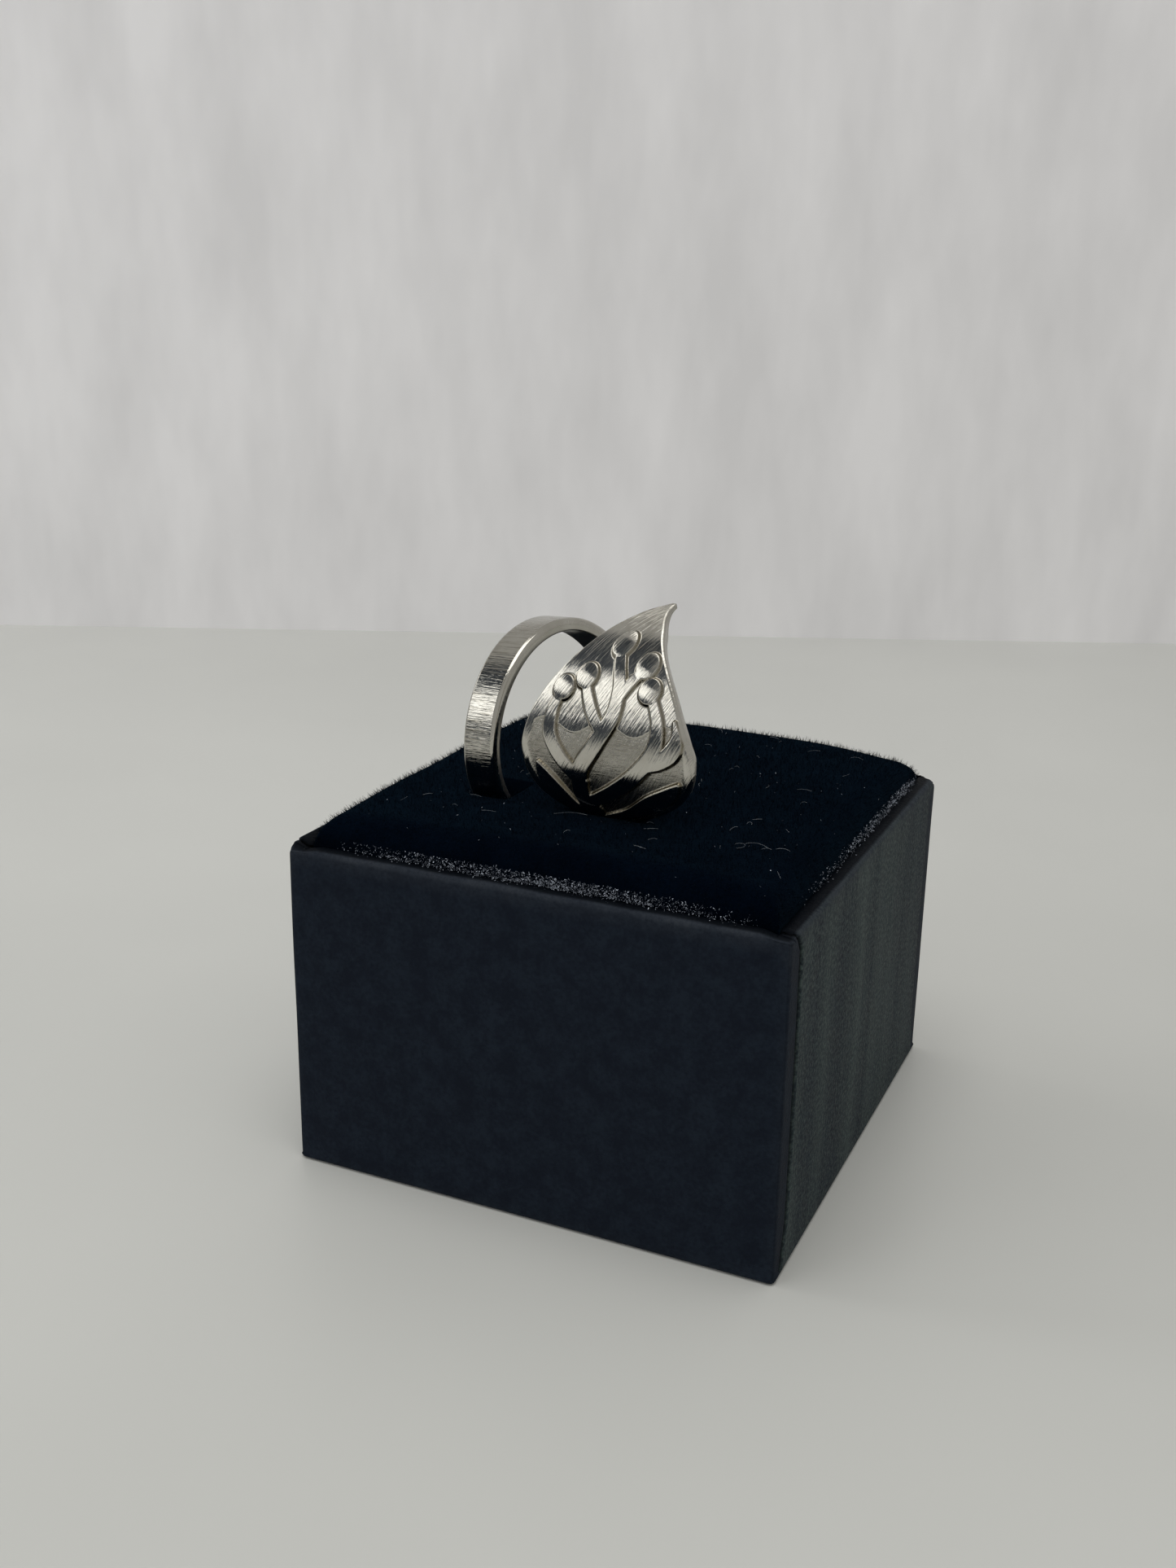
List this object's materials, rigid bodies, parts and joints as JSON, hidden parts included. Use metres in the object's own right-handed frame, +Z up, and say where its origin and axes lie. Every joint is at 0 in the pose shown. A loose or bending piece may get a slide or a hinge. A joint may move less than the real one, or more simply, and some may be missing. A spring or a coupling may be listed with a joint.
{
  "type": "spoon ring in an open ring box base",
  "caption": "Wrapped silver spoon ring with a pointed, relief-worked leaf, standing in the velvet pad of a square paper-covered box base.",
  "frame": {"origin": "centre of the box's underside", "axes": "+X to the right along the box's front face, +Y towards its back, +Z up out of the box"},
  "size_m": [0.05, 0.052, 0.0564],
  "materials": {
    "silver": "satin, with fine brushing lines and brighter worn edges",
    "box_paper": "matt black-blue paper, worn greyer along the edges",
    "velvet": "short deep-blue pile with lint"
  },
  "bodies": {
    "root": {"spoon_ring": "silver", "box_tray": "box_paper", "velvet_pad": "velvet"}
  },
  "joints": []
}
